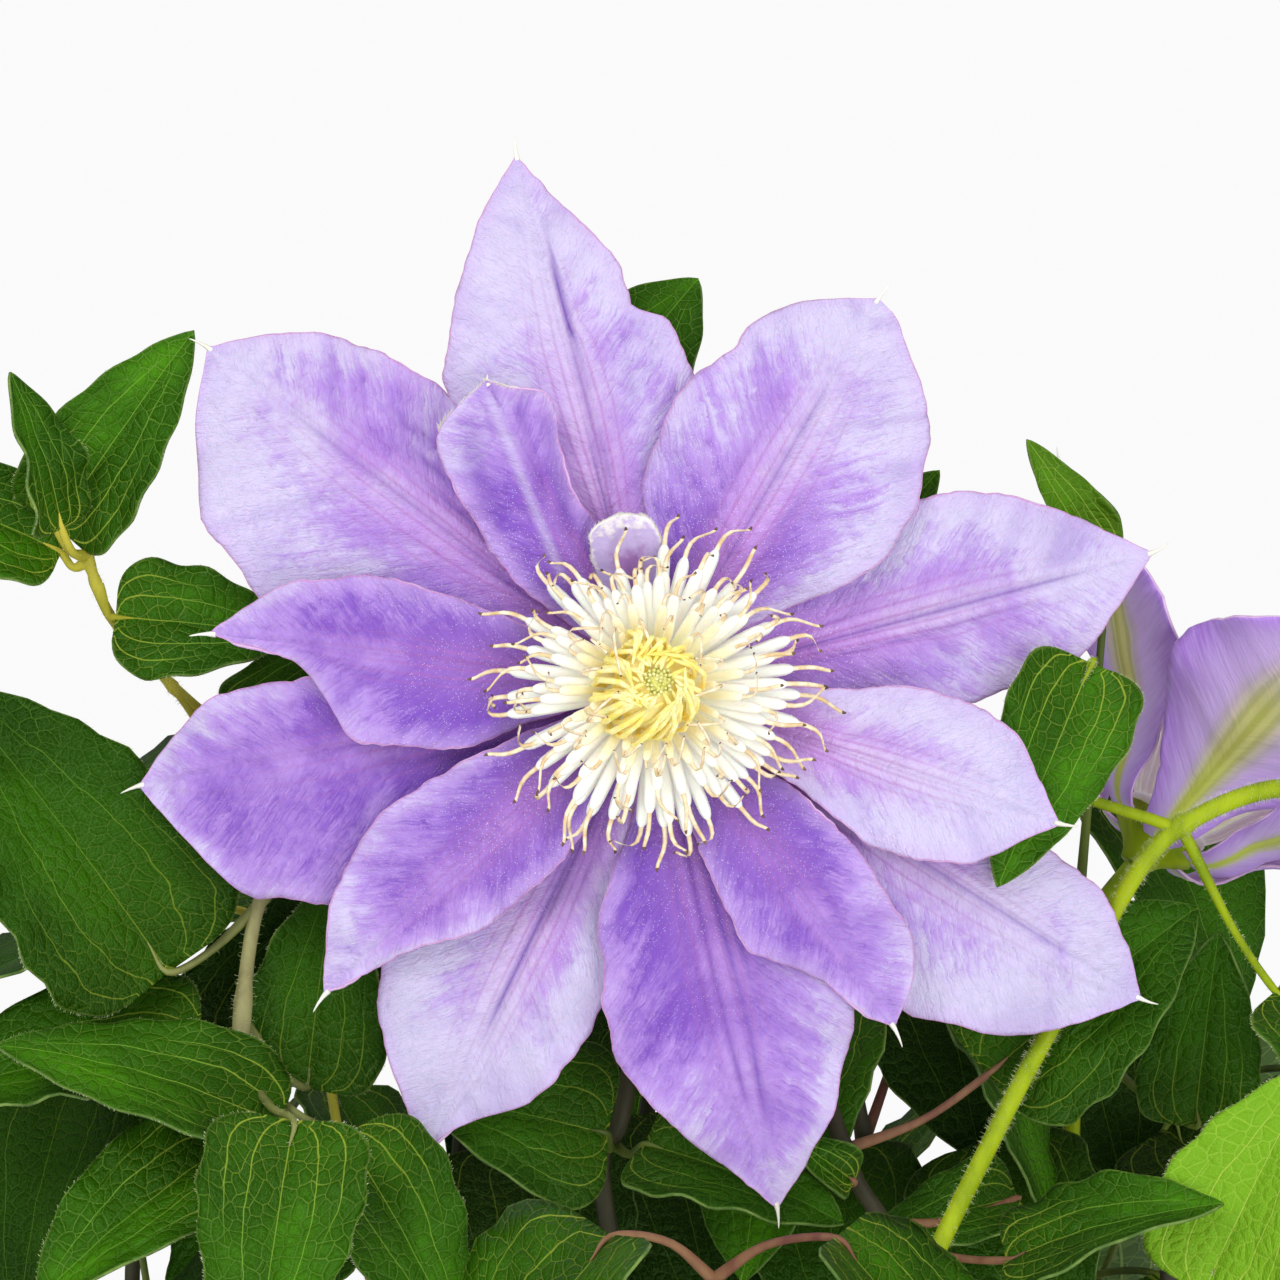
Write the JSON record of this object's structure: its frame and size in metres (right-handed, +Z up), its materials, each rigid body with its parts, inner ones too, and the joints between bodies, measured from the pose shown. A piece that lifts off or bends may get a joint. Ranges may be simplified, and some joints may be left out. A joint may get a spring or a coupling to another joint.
{
  "type": "potted clematis",
  "caption": "Bushy clematis with large violet blooms and ovate leaves, growing in soil in a plain round clay pot.",
  "frame": {"origin": "middle of the pot's foot, on the surface it stands on", "axes": "+Z up through the pot's middle; the main bloom faces -Y; +X to the right as the bloom is looked at"},
  "size_m": [0.2334, 0.2377, 0.3721],
  "materials": {
    "pot": "matte unglazed clay",
    "soil": "damp crumbly soil",
    "leafy_stem": "satin leaf",
    "tepal": "soft satin petal",
    "stamen": "matte",
    "heart": "matte",
    "bud": "downy"
  },
  "bodies": {
    "root": {"pot": "pot", "soil": "soil", "stem_front": "leafy_stem", "stem_left": "leafy_stem", "stem_upper_left": "leafy_stem", "stem_right": "leafy_stem", "stem_lower_right": "leafy_stem", "stem_second_bloom": "leafy_stem", "stem_back_left": "leafy_stem", "stem_back": "leafy_stem", "stem_back_right": "leafy_stem", "stem_middle": "leafy_stem", "stem_middle_left": "leafy_stem", "stem_middle_right": "leafy_stem", "stem_low_left": "leafy_stem", "stem_low_front": "leafy_stem", "stem_low_right": "leafy_stem", "stem_side_left": "leafy_stem", "stem_side_right": "leafy_stem", "bloom_front_tepals": "tepal", "bloom_front_stamens": "stamen", "bloom_front_heart": "heart", "bloom_second_tepals": "tepal", "bloom_second_stamens": "stamen", "bloom_second_heart": "heart", "bud_right": "bud"}
  },
  "joints": []
}
